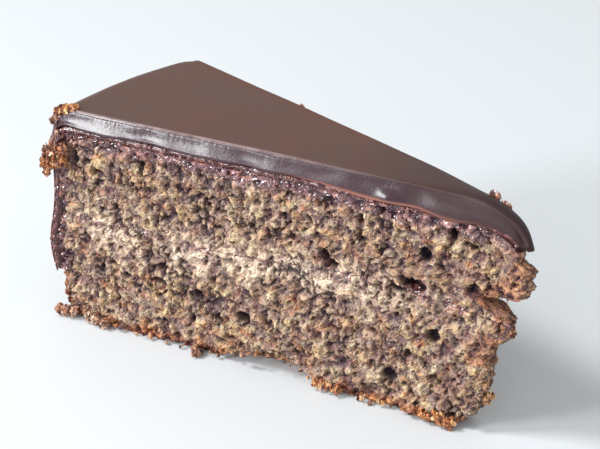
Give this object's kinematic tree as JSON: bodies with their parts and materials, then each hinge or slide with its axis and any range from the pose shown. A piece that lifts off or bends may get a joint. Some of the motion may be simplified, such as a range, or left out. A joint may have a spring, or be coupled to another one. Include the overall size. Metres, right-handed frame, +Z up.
{
  "type": "sachertorte slice",
  "caption": "Wedge slice of sachertorte: chocolate crumb layers with a jam line between them and a poured chocolate glaze over the top and rim; a dessert portion that stands upright.",
  "frame": {"origin": "centre of the bounding box at its base", "axes": "+Z up, +X towards the slice's tip, -Y out of the cut face that the picture shows"},
  "size_m": [0.1324, 0.0561, 0.0606],
  "materials": {
    "crumb": "rough",
    "apricot_jam": "wet",
    "chocolate_glaze": "satin"
  },
  "bodies": {
    "root": {"lower_sponge": "crumb", "upper_sponge": "crumb", "jam_filling": "apricot_jam", "jam_coat": "apricot_jam", "chocolate_glaze": "chocolate_glaze"}
  },
  "joints": []
}
